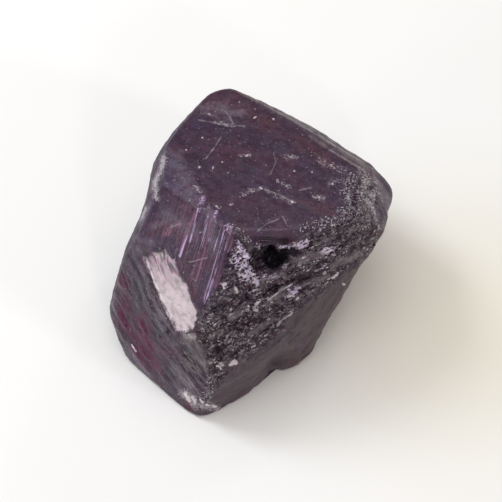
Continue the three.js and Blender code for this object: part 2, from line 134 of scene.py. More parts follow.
# Single marks, by where they show from the camera, in pixels of the frame: a half width, then the
# points that the mark runs through.
marks = {
    # pit and hollow are cut in and also painted dark: painted shade in them
    "pit": [(8, (270, 256), (278, 264), (285, 256))],
    "hollow": [
        (8, (258, 254), (272, 251)), (7, (284, 254), (294, 252)), (8, (258, 264), (274, 270)),
        (8, (266, 260), (288, 260)), (4, (262, 240), (286, 242)), (3, (268, 292), (290, 282), (312, 272)),
        (3, (296, 286), (312, 278)), (6, (218, 350), (219, 355)), (4, (238, 286), (248, 296)),
        (3, (352, 250), (362, 246)),
    ],
    # crack: dark lines, partly cracks and partly painted shade along the chip's left step
    "crack": [
        (1.6, (149, 275), (157, 294), (166, 313), (175, 330)), (1.5, (184, 334), (194, 332)),
        (1.3, (230, 232), (240, 246), (252, 252)), (1.4, (268, 350), (290, 330), (318, 298)),
        (1.4, (176, 336), (186, 350), (196, 364)), (1.3, (168, 328), (178, 344), (190, 362)),
        (1.3, (121, 268), (127, 284), (134, 300)), (1.2, (196, 330), (204, 344)),
    ],
    # ridge: painted highlights along crests
    "ridge": [
        (1.7, (284, 268), (288, 261), (291, 256)), (1.6, (330, 279), (339, 274)),
        (2, (278, 325), (284, 318), (291, 313)), (1.3, (254, 306), (262, 299)),
        (1.8, (309, 294), (313, 290)), (1.5, (147, 262), (154, 281), (163, 301), (171, 316)),
        (1.2, (268, 300), (280, 290), (292, 284)), (1.2, (312, 271), (322, 268)),
        (1.6, (211, 363), (217, 361), (223, 365)), (1.4, (132, 345), (136, 351)),
    ],
    "frost": [
        (4.5, (164, 158), (161, 170), (155, 182), (156, 198)), (3, (146, 208), (140, 220)),
        (7, (184, 393), (196, 404)), (5, (190, 396), (186, 392)), (6, (200, 404), (216, 409)),
        (3, (210, 361), (221, 364)), (2, (278, 325), (291, 314)), (5, (364, 182), (372, 196)),
        (4, (366, 200), (374, 214)), (3, (374, 214), (378, 227)), (4, (186, 334), (194, 338)),
        (3, (348, 196), (352, 206)),
    ],
    "grit": [
        (15, (360, 190), (366, 212)), (10, (346, 208), (340, 218)), (10, (352, 180), (346, 196)),
        (7, (305, 228), (330, 220)), (7, (212, 380), (206, 402)), (13, (216, 330), (246, 346)),
        (9, (356, 228), (366, 222)), (6, (376, 190), (380, 200)), (6, (246, 312), (262, 306)),
        (6, (290, 296), (300, 288)), (5, (232, 226), (248, 240)), (6, (196, 398), (212, 408)),
    ],
    "tread": [
        (5, (289, 262), (304, 258), (322, 254)), (5, (332, 266), (346, 260)), (4, (262, 280), (284, 274)),
        (5, (231, 318), (242, 312)), (3.5, (270, 300), (284, 294)), (3.5, (250, 334), (270, 322)),
        (4, (318, 244), (334, 238)), (5, (340, 262), (360, 254)), (4, (306, 284), (326, 276)),
        (4, (212, 336), (224, 330)),
    ],
    "pebble": [
        (2.8, (235, 288), (236, 292)), (2.2, (223.5, 285), (225, 284)), (2.8, (255, 309), (256, 310)),
        (3, (230, 364), (235, 362)), (1.8, (280, 285), (285, 284)), (1.4, (288, 297), (293, 296)),
        (1.7, (333, 278), (338, 274)), (1.5, (343.4, 284), (344, 284)), (1.6, (217, 366), (220, 367)),
        (2.6, (186, 394), (190, 400)), (2, (193, 397), (196, 402)), (1.6, (201, 399), (203, 402)),
        (1.5, (206, 404), (209, 405)), (1.5, (213, 406), (216, 406)),
    ],
    # sparkle: painted glints on the table and band
    "sparkle": [
        (1.8, (199, 167), (199.4, 167)), (1.4, (319, 197), (319.6, 197)),
        (1.2, (239, 101.8), (239.4, 102)), (1.2, (209, 113.5), (209.6, 113.8)),
        (1.2, (202, 137.5), (202.5, 137.5)), (1.3, (273, 119), (274, 119.4)),
        (1.3, (331, 165.6), (331.5, 165.6)), (1.2, (213, 167), (213, 168)),
        (1.2, (230, 204.5), (230.6, 204.5)), (1.3, (291.5, 201), (293, 202)),
        (1.3, (246, 156), (248, 155)), (1.2, (312, 172), (312.5, 172)), (1.2, (294, 171), (294.5, 171)),
        (1.3, (332, 183), (333, 184)), (1.3, (260, 187.5), (262, 188.5)), (1.2, (216, 206.5), (217, 207)),
        (1.2, (228, 173), (228.5, 173)), (1.3, (222, 162), (222.4, 162)), (1.2, (186, 150), (186.4, 150)),
        (1.3, (254, 118), (256, 117)), (1.1, (298, 246), (300, 244)), (1.4, (286, 257), (288, 252)),
        (1.2, (302, 258), (304, 257)), (1.2, (251, 274), (253, 279)), (1.2, (243, 262), (244, 266)),
        (1.2, (322, 252), (332, 250)),
    ],
    "bruise": [
        (4, (242, 194), (261, 188)), (4, (266, 190), (293, 203)), (4, (278, 181), (290, 188)),
        (4, (194, 187), (201, 191)), (4, (214, 206), (219, 208)), (3, (229, 204), (232, 204)),
        (5, (314, 196), (324, 200)), (5, (330, 183), (340, 180)), (4, (286, 157), (297, 157)),
        (3, (240, 156), (250, 155)), (3, (210, 170), (214, 172)), (6, (320, 160), (345, 172)),
        (6, (360, 170), (376, 182)), (3, (214, 121), (234, 126)),
    ],
    "scratch": [
        (2, (200, 120), (222, 124), (244, 126)), (2, (226, 112), (230, 117), (233, 123)),
        (3, (220, 138.5), (214, 148), (207, 157)), (2, (274, 154), (276, 162), (271, 173)),
        (2, (285, 155), (296, 158)), (2.2, (265.5, 189.5), (280, 195), (294, 202.5)),
        (3, (259, 230), (267, 223.5), (278.5, 219)), (2, (283, 217), (287, 225)),
        (2, (205, 113), (211, 115)), (2, (330, 150), (365, 171)), (2, (300, 190), (310, 188)),
        (2.4, (168, 228), (180, 224)), (2, (190, 262), (206, 258)),
    ],
    # streak, rose and comb: painted reflections along the ribs
    "streak": [
        (3.4, (203, 198), (196, 216), (189, 240)), (1.8, (209, 205), (202, 246)),
        (2.2, (216.5, 211), (209, 240)), (3.6, (227, 225), (217, 262), (206, 302)),
        (2, (232, 226), (226, 244), (219, 264)), (1.6, (222, 222), (214, 250)),
        (1.4, (198, 240), (193, 262)), (2, (178, 250), (174, 262)), (2, (188, 236), (180, 256)),
    ],
    "rose": [
        (3, (235, 230), (226, 262), (216, 288)), (3.4, (197, 206), (188, 228), (181, 250)),
        (2, (213, 214), (204, 248)), (5, (166, 234), (178, 224)), (4, (187, 316), (191, 323)),
        (5, (160, 268), (166, 284)), (3, (206, 250), (196, 280)),
    ],
    "comb": [(13, (172, 186), (196, 196)), (8, (164, 200), (176, 214))],
    # blue: the stone's own blue tone, and painted reflection: the bluish sheen at the ribbed face's top and
    # the blue-grey highlight low on the left front
    "blue": [
        (4, (216, 286), (208, 304)), (2.4, (237, 232), (224, 280)), (8, (170, 184), (194, 196)),
        (5, (124, 286), (130, 296)), (4, (134, 297), (138, 304)), (5, (173, 236), (176, 250)),
        (4, (210, 292), (206, 302)), (8, (170, 366), (190, 386)), (7, (146, 240), (154, 252)),
        (8, (172, 160), (168, 178)), (3, (206, 206), (198, 236)), (9, (238, 254), (249, 272)),
        (4, (194, 124), (204, 130)),
    ],
    # teal: the stone's own tone, with a painted teal sheen in the pit
    "teal": [
        (7, (277, 146), (286, 148)), (6, (296, 206), (309, 208)), (5, (294, 220), (299, 230)),
        (5, (275, 256), (277, 259)), (6, (292, 258), (306, 262)), (5, (240, 160), (250, 170)),
    ],
    # maroon: the crystal's red tone, partly painted glow of light through it at the lower left
    "maroon": [
        (7, (122, 277), (128, 300)), (9, (124, 306), (126, 328)), (11, (134, 334), (152, 364)),
        (6, (142, 316), (148, 330)), (5, (188, 404), (192, 409)), (8, (238, 284), (250, 298)),
        (6, (214, 348), (222, 357)),
    ],
    "russet": [
        (11, (310, 206), (330, 212)), (16, (209, 104), (240, 110)), (13, (238, 108), (268, 124)),
        (9, (300, 140), (330, 165)), (9, (186, 262), (194, 296)), (9, (160, 224), (176, 236)),
        (9, (290, 350), (296, 362)), (7, (290, 244), (296, 240)),
    ],
    # film: grey haze, partly painted reflection: the grey sheen along the left outlines
    "film": [
        (5, (122, 256), (114, 285), (113, 320)), (5, (113, 320), (128, 350), (150, 376)),
        (10, (140, 250), (148, 290)), (9, (160, 310), (176, 344)), (18, (174, 160), (192, 196)),
        (14, (205, 108), (240, 112)), (12, (166, 214), (192, 232)), (10, (210, 212), (214, 250)),
        (8, (176, 386), (190, 396)), (9, (376, 180), (386, 204)), (5, (150, 204), (140, 226)),
        (4, (166, 152), (152, 190)), (5, (152, 226), (170, 220)), (7, (132, 236), (150, 244)),
    ],
    # veil: painted sheen of reflected light, along the upper right rim and on the left front
    "veil": [
        (10, (194, 338), (206, 366)), (8, (184, 344), (194, 368)), (5, (222, 366), (246, 362)),
        (7, (172, 368), (192, 384)), (2.4, (238, 91), (262, 104)), (2.4, (262, 104), (298, 122)),
        (3, (298, 122), (338, 148)), (5, (338, 148), (374, 173)), (9, (364, 176), (382, 198)),
        (3, (310, 136), (360, 168)), (5, (374, 176), (388, 198)),
    ],
    "groove": [
        (15, (150, 290), (167, 330), (188, 362), (210, 390)), (9, (196, 372), (214, 396)),
    ],
    # gleam: painted lilac-white glints and glow by the pit and along the band
    "gleam": [
        (11, (238, 256), (247, 273)), (4, (252, 268), (254, 280)),
        (3, (258, 248), (274, 246), (290, 247)), (5, (296, 246), (306, 243)), (4, (240, 288), (248, 294)),
        (3, (234, 238), (244, 250)), (4, (286, 296), (298, 288)), (3, (262, 278), (276, 276)),
        (4, (222, 285), (224, 286)), (4, (322, 252), (332, 249)), (4, (250, 272), (256, 282)),
        (3, (286, 266), (290, 256)), (4, (240, 246), (246, 256)),
    ],
    "curl": [
        (11, (172, 300), (180, 307)), (5, (166, 288), (172, 296)), (5, (190, 316), (192, 325)),
        (4, (176, 322), (186, 329)), (4, (158, 266), (162, 280)),
    ],
}


# marks that are drawn as a thin line, and their tones
thinLines = {"scratch": "frost", "crack": "black", "ridge": "lit"}


def viewAxes():
    tip = math.radians(view["elevation"])
    forward = np.array([0, math.cos(tip), -math.sin(tip)])
    up = np.array([0, math.sin(tip), math.cos(tip)])
    return np.array([1.0, 0, 0]), up, forward


def eyePlace():
    return np.array(view["target"]) - view["distance"] * viewAxes()[2]


def makeCamera():
    data = bpy.data.cameras.new("camera")
    data.sensor_width = view["sensor"]
    data.lens = view["sensor"] * view["distance"] / (view["framePixels"] * view["mmPerPixel"])
    data.clip_start = view["clipStart"] * metresPerMm
    camera = bpy.data.objects.new("camera", data)
    camera.location = Vector(eyePlace() * metresPerMm)
    camera.rotation_euler = (math.radians(90 - view["elevation"]), 0, 0)
    bpy.context.scene.collection.objects.link(camera)
    bpy.context.scene.camera = camera
    print("camera made")


def smoothStep(low, high, x):
    t = np.clip((x - low) / (high - low), 0, 1)
    return t * t * (3 - 2 * t)


def unit(v):
    return np.array(v, float) / np.linalg.norm(v)


# The outward direction of a heading and a tilt from straight up, in degrees.
def direction(heading, tilt):
    h, t = math.radians(heading), math.radians(tilt)
    return np.array([math.sin(t) * math.cos(h), math.sin(t) * math.sin(h), math.cos(t)])


# Smooth noise from about -1 to 1 that varies over size. seed picks another pattern.
def waves(points, size, seed=0):
    places = points / size + np.array([7.3, -3.1, 5.7]) * seed
    return np.array([noise.noise(place) for place in places.tolist()])


# A random number from 0 to 1 for each whole-numbered cell.
def cellRandom(cells, seed):
    s = np.sin(cells @ np.array([127.1, 311.7, 74.7]) + seed * 53.9) * 43758.5453
    return s - np.floor(s)


# Flat facets, each tipped its own way, about one unit across. Returns their height and a number
# from 0 to 1 that each facet draws.
def facets(points, seed):
    base = np.floor(points)
    nearest = np.full(len(points), np.inf)
    height = np.zeros(len(points))
    pick = np.zeros(len(points))
    for i in (-1, 0, 1):
        for j in (-1, 0, 1):
            for k in (-1, 0, 1):
                cells = base + (i, j, k)
                gap = points - cells - np.stack([cellRandom(cells, seed + n) for n in (1, 2, 3)], 1)
                away = (gap ** 2).sum(1)
                lean = (cellRandom(cells, seed + 4) - 0.5) * gap[:, 0]
                lean += (cellRandom(cells, seed + 5) - 0.5) * gap[:, 1]
                closer = away < nearest
                level = cellRandom(cells, seed + 6) - 0.5 + relief["facetLean"] * lean
                height = np.where(closer, level, height)
                pick = np.where(closer, cellRandom(cells, seed + 7), pick)
                nearest = np.where(closer, away, nearest)
    return height, pick


faceNames = list(form["faces"])
faceNormals = np.array([direction(*face[:2]) for face in form["faces"].values()])
faceReach = np.array([face[2] for face in form["faces"].values()], float)
faceZones = [face[3] for face in form["faces"].values()]


# Where points of the stone show from the camera, in pixels of the frame.
def pixelsOf(points):
    right, up, forward = viewAxes()
    sight = points + np.array(form["core"]) - eyePlace()
    scale = view["distance"] / view["mmPerPixel"] / (sight @ forward)
    middle = view["framePixels"] / 2
    return np.stack([middle + scale * (sight @ right), middle - scale * (sight @ up)], 1)


# How much of each face reaches each point, for the faces that a point lies on or near.
def faceWeights(depth):
    return np.exp(-(depth - depth.min(1, keepdims=True)) / form["blend"])


# 1 where the stone's faces turn to the camera and 0 where they turn away.
def facing(points):
    outward = faceWeights(faceReach - points @ faceNormals.T) @ faceNormals
    sight = points + np.array(form["core"]) - eyePlace()
    lengths = np.linalg.norm(outward, axis=1) * np.linalg.norm(sight, axis=1)
    return smoothStep(*form["grazing"], -(outward * sight).sum(1) / lengths)


def segmentDistance(points, start, end):
    run = end - start
    t = np.clip(((points - start) @ run) / (run @ run), 0, 1)
    return np.linalg.norm(points - start - t[:, None] * run, axis=1)


# How far inside an outline each pixel place lies, in pixels. It is below 0 outside.
def insideOutline(pixels, outline):
    corners = np.array(outline, float)
    nearest = np.full(len(pixels), np.inf)
    inside = np.zeros(len(pixels), bool)
    for start, end in zip(corners, np.roll(corners, -1, axis=0)):
        nearest = np.minimum(nearest, segmentDistance(pixels, start, end))
        spans = (start[1] > pixels[:, 1]) != (end[1] > pixels[:, 1])
        slope = (end[0] - start[0]) / (end[1] - start[1]) if end[1] != start[1] else 0
        inside ^= spans & (pixels[:, 0] < start[0] + slope * (pixels[:, 1] - start[1]))
    return np.where(inside, nearest, -nearest)


# How much each zone has of each point, from 0 to 1. The broken zone is the band's outline, which
# grows by some pixels, and its own faces go to their neighbours outside it.
def zoneShares(points, grow=0.0):
    depth = faceReach - points @ faceNormals.T
    depth[:, [zone == "broken" for zone in faceZones]] = np.inf
    weight = faceWeights(depth)
    weight /= weight.sum(1, keepdims=True)
    band = insideOutline(pixelsOf(points), outlines["band"]) + grow
    broken = smoothStep(-form["bandBorder"], form["bandBorder"], band) * facing(points)
    shares = {
        zone: weight[:, [z == zone for z in faceZones]].sum(1) * (1 - broken)
        for zone in sorted(set(faceZones))
    }
    shares["broken"] = broken
    return shares


# The crystal's ideal surface: flat faces with edges worn a little round.
def settled(points, power):
    share = np.clip(points @ faceNormals.T, 0, None) / faceReach
    return points / ((share ** power).sum(1, keepdims=True) ** (1 / power))


# Axes along a direction, across it and out of the face.
def axesOf(along, face):
    out = unit(faceNormals[faceNames.index(face)])
    along = unit(np.array(along) - np.dot(along, out) * out)
    return np.stack([along, np.cross(out, along), out], 1)


ledgeAxes = axesOf(form["ledgesAlong"], "band")
ribAxes = axesOf(form["ribsAlong"], "striated")


def pointsOf(bm):
    return np.array([v.co[:] for v in bm.verts]) / metresPerMm - np.array(form["core"])


# Splits the long edges in each zone until they have the zone's length.
def refineStone(bm):
    zoneNames = sorted(form["edges"])
    lengths = np.array([form["edges"][zone] for zone in zoneNames])
    for turn in range(form["splitTurns"]):
        bm.verts.index_update()
        points = pointsOf(bm)
        shares = zoneShares(points, 1.5 * form["ragged"])
        wanted = lengths[np.argmax(np.stack([shares[zone] for zone in zoneNames], 1), 1)]
        ends = np.array([(e.verts[0].index, e.verts[1].index) for e in bm.edges])
        length = np.linalg.norm(points[ends[:, 0]] - points[ends[:, 1]], axis=1)
        tooLong = length > form["splitAbove"] * np.minimum(wanted[ends[:, 0]], wanted[ends[:, 1]])
        if not tooLong.any():
            break
        bm.edges.ensure_lookup_table()
        long = [bm.edges[i] for i in np.flatnonzero(tooLong).tolist()]
        bmesh.ops.subdivide_edges(bm, edges=long, cuts=1)
        wide = [face for face in bm.faces if len(face.verts) > 3]
        bmesh.ops.triangulate(bm, faces=wide, quad_method="SHORT_EDGE", ngon_method="BEAUTY")
    print("stone refined:", len(bm.faces), "triangles")


def smoothZones(bm):
    shares = zoneShares(pointsOf(bm))
    strength = sum(shares[zone] * turns for zone, turns in form["smoothing"].items())
    bm.verts.ensure_lookup_table()
    for turn in range(max(form["smoothing"].values())):
        picked = np.flatnonzero(strength > turn + 0.5).tolist()
        bmesh.ops.smooth_vert(
            bm, verts=[bm.verts[i] for i in picked], factor=0.5,
            use_axis_x=True, use_axis_y=True, use_axis_z=True,
        )


# How deep each pixel place lies in marks of a kind: 1 on the middle line, 0 at the border, then
# below 0.
def markField(pixels, lines):
    field = np.full(len(pixels), -1.0)
    for halfWidth, *spots in lines:
        for start, end in zip(spots, spots[1:]):
            away = segmentDistance(pixels, np.array(start, float), np.array(end, float))
            field = np.maximum(field, 1 - away / halfWidth)
    return field


# Which side of the nearest line each pixel place lies on, and how far off, in pixels.
def sideOfLine(pixels, lines):
    nearest = np.full(len(pixels), np.inf)
    side = np.zeros(len(pixels))
    for halfWidth, *spots in lines:
        for start, end in zip(spots, spots[1:]):
            begin = np.array(start, float)
            run = np.array(end, float) - begin
            away = segmentDistance(pixels, begin, begin + run)
            offset = (pixels - begin) @ unit((-run[1], run[0]))
            side = np.where(away < nearest, offset, side)
            nearest = np.minimum(nearest, away)
    reach = form["outlineReach"] / 2
    return np.clip(side, -reach, reach)


# Sizes and heights of the relief, in millimetres.
relief = {
    "slabSize": 1.3, "slabHeight": 0.3,
    "blockSize": 0.62, "blockHeight": 0.17,
    "grainSize": 0.3, "grainHeight": 0.09,
    "slabStretch": 2.1,  # slabs are this much longer along the ledges
    "grainStretch": 1.3,
    "facetLean": 1.8,
    "ledgePitch": 1.05, "ledgeHeight": 0.36,
    "ledgeBend": 0.28, "ledgeFineBend": 0.1,
    "treadCalm": 0.6,  # how much of the band's relief a tread takes away
    "ribPitch": 0.42, "ribHeight": 0.03, "ribLength": 16,
    "flowPitch": 0.95, "flowHeight": 0.17,
    "flowFinePitch": 0.36, "flowFineHeight": 0.05,
    "flowBend": 0.35, "flowFineBend": 0.08,
    "lobeLumps": 0.09, "tableLumps": 0.035, "backLumps": 0.05,
    "pitDepth": 1.3, "hollowDepth": 0.3,
    "chipSink": 0.1, "chipLumps": 0.07,
    "pebbleHeight": 0.16, "curlHeight": 0.04, "gritHeight": 0.08,
    "bruiseDepth": 0.025, "scratchDepth": 0.012, "crackDepth": 0.048,
    "edgeWidth": (0.1, 0.5), "edgeNicks": 0.18,
    "cleaveSize": 2.6, "cleaveHeight": 0.25,
}

# Shell-shaped scars on the hidden sides: heading and tilt of the blow, radius and depth.
scars = [
    (60, 78, 7, 0.25), (30, 100, 6, 0.22), (95, 95, 8, 0.28), (128, 80, 6, 0.2), (165, 95, 7, 0.25),
    (195, 110, 6, 0.25), (150, 120, 7, 0.25), (-20, 105, 5, 0.2), (10, 75, 4, 0.15), (80, 120, 6, 0.25),
]
scarRipple = {"height": 0.05, "pitch": 0.9}


# Slabs, blocks and grains on slanting ledges. Returns the height, a number from 0 to 1 that the
# pieces draw, and the place from 0 to 1 between two ledges.
def brokenRelief(points):
    turned = points @ ledgeAxes
    turned[:, 1] += relief["ledgeBend"] * waves(points, 2.4, seed=3)
    turned[:, 1] += relief["ledgeFineBend"] * waves(points, 0.9, seed=4)
    stretched = turned / (relief["slabStretch"], 1, 1)
    slab, slabPick = facets(stretched / relief["slabSize"], seed=10)
    block, blockPick = facets(stretched / relief["blockSize"], seed=30)
    grain, grainPick = facets(turned / (relief["grainStretch"], 1, 1) / relief["grainSize"], seed=50)
    patchy = smoothStep(-0.4, 0.3, waves(points, 2.3, seed=5))
    phase = np.mod(-turned[:, 1] / relief["ledgePitch"] + 0.6 * waves(points, 3.5, seed=6), 1)
    ledged = 0.3 + 0.7 * smoothStep(-0.3, 0.3, waves(points, 3.1, seed=7))
    height = relief["slabHeight"] * slab + relief["blockHeight"] * block * (0.5 + 0.5 * patchy)
    height += relief["grainHeight"] * grain * (0.25 + 0.75 * patchy)
    height += relief["ledgeHeight"] * (phase - 0.5) * ledged
    return height, 0.25 * slabPick + 0.35 * blockPick + 0.4 * grainPick, phase


def ribbedRelief(points):
    turned = points @ ribAxes
    along = turned[:, 0] / relief["ribLength"]
    lines = np.stack([along, turned[:, 1] / relief["ribPitch"], 0 * along], 1)
    return relief["ribHeight"] * (waves(lines, 1, seed=8) + 0.5 * waves(lines, 0.45, seed=9))


# How far each pixel place lies along and across the left front's grooves, in millimetres.
def flowPlace(pixels):
    down = pixels[:, 1] - form["flowStart"][1]
    line = form["flowStart"][0] + form["flowSlope"] * down + form["flowBend"] * down ** 2
    return down * view["mmPerPixel"], (pixels[:, 0] - line) * view["mmPerPixel"]


def sawtooth(x):
    return 1 - 2 * np.abs(np.mod(x, 1) - 0.5)


def flowRelief(points, across, grooved):
    bent = across + relief["flowBend"] * waves(points, 3.2, seed=10)
    bent += relief["flowFineBend"] * waves(points, 1, seed=11)
    patchy = smoothStep(-0.25, 0.35, waves(points, 2.4, seed=12) + 0.6 * grooved)
    height = relief["flowHeight"] * sawtooth(bent / relief["flowPitch"]) * patchy
    height += relief["flowFineHeight"] * sawtooth(bent / relief["flowFinePitch"]) * (0.3 + grooved)
    return height + 0.05 * waves(points, 0.7, seed=13) + 0.03 * waves(points, 0.3, seed=14)


# Shell breaks and flat cleavage on the hidden sides, always inwards.
def backRelief(points):
    cleave = facets(points / relief["cleaveSize"], seed=70)[0]
    height = relief["cleaveHeight"] * (np.clip(cleave, -1, 1) - 0.5)
    for heading, tilt, radius, depth in scars:
        middle = settled(direction(heading, tilt)[None], form["edgeSharpness"])
        away = np.linalg.norm(points - middle, axis=1) / radius
        bowl = 1 - smoothStep(0.55, 1, away + 0.1 * waves(points, 1.6, seed=heading % 13))
        ripples = np.cos(2 * math.pi * away * radius / scarRipple["pitch"])
        height += bowl * (scarRipple["height"] * ripples - depth - 0.5 * height)
    return height


# How near each point is to an edge between two faces, and where that edge is nicked. The soft edge
# of the table is told apart, as a seam.
def edgeMasks(points, shares):
    depth = np.sort(faceReach - points @ faceNormals.T, axis=1)
    edge = 1 - smoothStep(*relief["edgeWidth"], depth[:, 1])
    nicked = smoothStep(0.05, 0.45, waves(points, 0.8, seed=16) + 0.4 * waves(points, 2.2, seed=17))
    grown = shares["table"] + shares["ribbed"] + shares["flow"]
    seam = edge * smoothStep(0.6, 0.95, grown)
    return edge * (1 - smoothStep(0.15, 0.5, grown)), nicked, seam


# The relief of the single marks.
def markRelief(points, fields, deep, pick, whole):
    pitted = fields["pit"] + 0.25 * waves(points, 0.6, seed=18)
    height = -relief["pitDepth"] * smoothStep(-0.1, 0.85, pitted)
    height -= relief["hollowDepth"] * deep["hollow"]
    height += relief["pebbleHeight"] * np.sqrt(np.clip(fields["pebble"], 0, 1))
    height += relief["curlHeight"] * deep["curl"]
    height += relief["gritHeight"] * deep["grit"] * whole * waves(points, 0.3, seed=21)
    height -= relief["bruiseDepth"] * deep["bruise"] * pick * whole
    height -= relief["scratchDepth"] * deep["scratch"] + relief["crackDepth"] * deep["crack"]
    return height


# The relief at each point, along its normal, and the masks that the finish needs.
def stoneRelief(points, pixels, shares, fields):
    deep = {kind: smoothStep(0, 0.6, field) for kind, field in fields.items()}
    chip = smoothStep(-1, 2.5, fields["chip"])
    shares = {zone: share * (1 - chip) for zone, share in shares.items()}
    alongFlow, acrossFlow = flowPlace(pixels)
    brokenHeight, pick, phase = brokenRelief(points)
    edge, nicked, seam = edgeMasks(points, shares)
    small = waves(points, 1.1, seed=1)
    fine = waves(points, 0.35, seed=2)
    smooth = shares["lobe"] + shares["rim"] + shares["side"]
    height = shares["broken"] * brokenHeight * (1 - relief["treadCalm"] * deep["tread"])
    height += shares["ribbed"] * ribbedRelief(points)
    height += shares["flow"] * flowRelief(points, acrossFlow, deep["groove"])
    height += smooth * relief["lobeLumps"] * (small + 0.4 * fine)
    height += shares["table"] * relief["tableLumps"] * (waves(points, 4.5) + 0.35 * small)
    height += shares["back"] * (backRelief(points) + relief["backLumps"] * small)
    height -= edge * nicked * relief["edgeNicks"]
    lumps = waves(points, 1.5, seed=19) + 0.6 * waves(points, 0.5, seed=20)
    height += chip * (relief["chipLumps"] * lumps - relief["chipSink"])
    height += markRelief(points, fields, deep, pick, 1 - shares["broken"])
    masks = {zone: shares[zone] for zone in ("ribbed", "flow", "side", "rim", "lobe")}
    masks.update({
        "rough": shares["broken"], "pick": pick, "phase": phase, "alongFlow": alongFlow,
        "acrossFlow": acrossFlow, "edge": edge * (0.3 + 0.7 * nicked), "seam": seam,
        "chipTop": 1 - smoothStep(262, 296, pixels[:, 1]),
    })
    return height, masks


def readPoints(mesh):
    place = np.zeros(len(mesh.vertices) * 3)
    mesh.vertices.foreach_get("co", place)
    return place.reshape(-1, 3) / metresPerMm - np.array(form["core"])


# Puts the points back in the mesh, inside the CAD box.
def writePoints(mesh, points):
    low, high = (np.array(corner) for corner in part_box(form["node"]))
    place = np.clip((points + np.array(form["core"])) * metresPerMm, low, high)
    mesh.vertices.foreach_set("co", place.ravel())
    mesh.update()


def readNormals(mesh):
    normals = np.zeros(len(mesh.vertices) * 3)
    mesh.vertex_normals.foreach_get("vector", normals)
    return normals.reshape(-1, 3)


# A finer copy of the node's mesh.
def fineMesh():
    bm = bmesh.new()
    bm.from_mesh(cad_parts[form["node"]].data)
    bmesh.ops.remove_doubles(bm, verts=bm.verts, dist=form["mergeDistance"] * metresPerMm)
    refineStone(bm)
    smoothZones(bm)
    mesh = bpy.data.meshes.new("stone")
    bm.to_mesh(mesh)
    bm.free()
    return mesh


# The places of points in the marks and outlines, none where the stone turns away.
def markFields(pixels, front):
    fields = {kind: markField(pixels, lines) * front - (1 - front) for kind, lines in marks.items()}
    reach = form["outlineReach"]
    for name, outline in outlines.items():
        inside = np.clip(insideOutline(pixels, outline), -reach, reach)
        fields[name] = inside * front - reach * (1 - front)
    for name in thinLines:
        fields[name + "Side"] = sideOfLine(pixels, marks[name])
    return fields


def makeStone():
    mesh = fineMesh()
    points = readPoints(mesh)
    ragged = form["ragged"] * (waves(points, 1.4, seed=30) + 0.6 * waves(points, 0.5, seed=31))
    shares = zoneShares(points, ragged)
    front = facing(points)

    # the ideal surface of the table, the ribbed face and the chip
    inChip = insideOutline(pixelsOf(points), outlines["chip"])
    chip = smoothStep(-form["chipBorder"], form["chipBorder"], inChip) * front
    grown = (shares["table"] + shares["ribbed"]) * (1 - chip)
    points += grown[:, None] * (settled(points, form["edgeSharpness"]) - points)
    points += chip[:, None] * (settled(points, form["chipSharpness"]) - points)
    writePoints(mesh, points)

    # the relief, less and less towards the underside
    pixels = pixelsOf(points)
    fields = markFields(pixels, front)
    height, masks = stoneRelief(points, pixels, shares, fields)
    rise = smoothStep(0, form["footRise"], points[:, 2] + form["core"][2])
    points += readNormals(mesh) * (height * rise)[:, None]
    writePoints(mesh, points)
    for name, values in {**masks, **fields, "hidden": 1 - front}.items():
        attribute = mesh.attributes.new(name, "FLOAT", "POINT")
        attribute.data.foreach_set("value", values.astype(np.float32))
    mesh.polygons.foreach_set("use_smooth", [True] * len(mesh.polygons))
    stone = bpy.data.objects.new("stone", mesh)
    bpy.context.scene.collection.objects.link(stone)
    print("stone shaped")
    return stone


# Small helpers for shader nodes. A value is a number, a colour or another node's output.
def setSocket(tree, socket, value):
    if isinstance(value, bpy.types.NodeSocket):
        tree.links.new(value, socket)
    else:
        socket.default_value = value


def mathsNode(tree, operation, first, second=0.0):
    node = tree.nodes.new("ShaderNodeMath")
    node.operation = operation
    setSocket(tree, node.inputs[0], first)
    setSocket(tree, node.inputs[1], second)
    return node.outputs[0]


def times(tree, *values):
    product = values[0]
    for value in values[1:]:
        product = mathsNode(tree, "MULTIPLY", product, value)
    return product


def without(tree, value):
    return mathsNode(tree, "SUBTRACT", 1.0, value)


def rampNode(tree, value, low, high, atLow=0.0, atHigh=1.0):
    node = tree.nodes.new("ShaderNodeMapRange")
    node.interpolation_type = "SMOOTHSTEP"
    setSocket(tree, node.inputs["Value"], value)
    for name, number in zip(("From Min", "From Max", "To Min", "To Max"), (low, high, atLow, atHigh)):
        setSocket(tree, node.inputs[name], number)
    return node.outputs["Result"]


def mixNode(tree, factor, first, second, blend="MIX"):
    node = tree.nodes.new("ShaderNodeMix")
    node.data_type = "RGBA"
    node.blend_type = blend
    setSocket(tree, node.inputs[0], factor)
    setSocket(tree, node.inputs[6], first)
    setSocket(tree, node.inputs[7], second)
    return node.outputs[2]


# The sum of values, each times its weight.
def blendNode(tree, *pairs):
    total = 0.0
    for value, weight in pairs:
        node = tree.nodes.new("ShaderNodeMath")
        node.operation = "MULTIPLY_ADD"
        setSocket(tree, node.inputs[0], value)
        setSocket(tree, node.inputs[1], weight)
        setSocket(tree, node.inputs[2], total)
        total = node.outputs[0]
    return total


# Coordinates along a set of axes, in units of size times stretch, both in millimetres.
def grainNode(tree, size, stretch=1, axes=None):
    where = tree.nodes.new("ShaderNodeTexCoord").outputs["Object"]
    node = tree.nodes.new("ShaderNodeMapping")
    node.vector_type = "TEXTURE"
    tree.links.new(where, node.inputs["Vector"])
    if axes is not None:
        node.inputs["Rotation"].default_value = Matrix(axes.tolist()).to_euler()
    node.inputs["Scale"].default_value = [size * s * metresPerMm for s in (stretch, 1, 1)]
    return node.outputs[0]


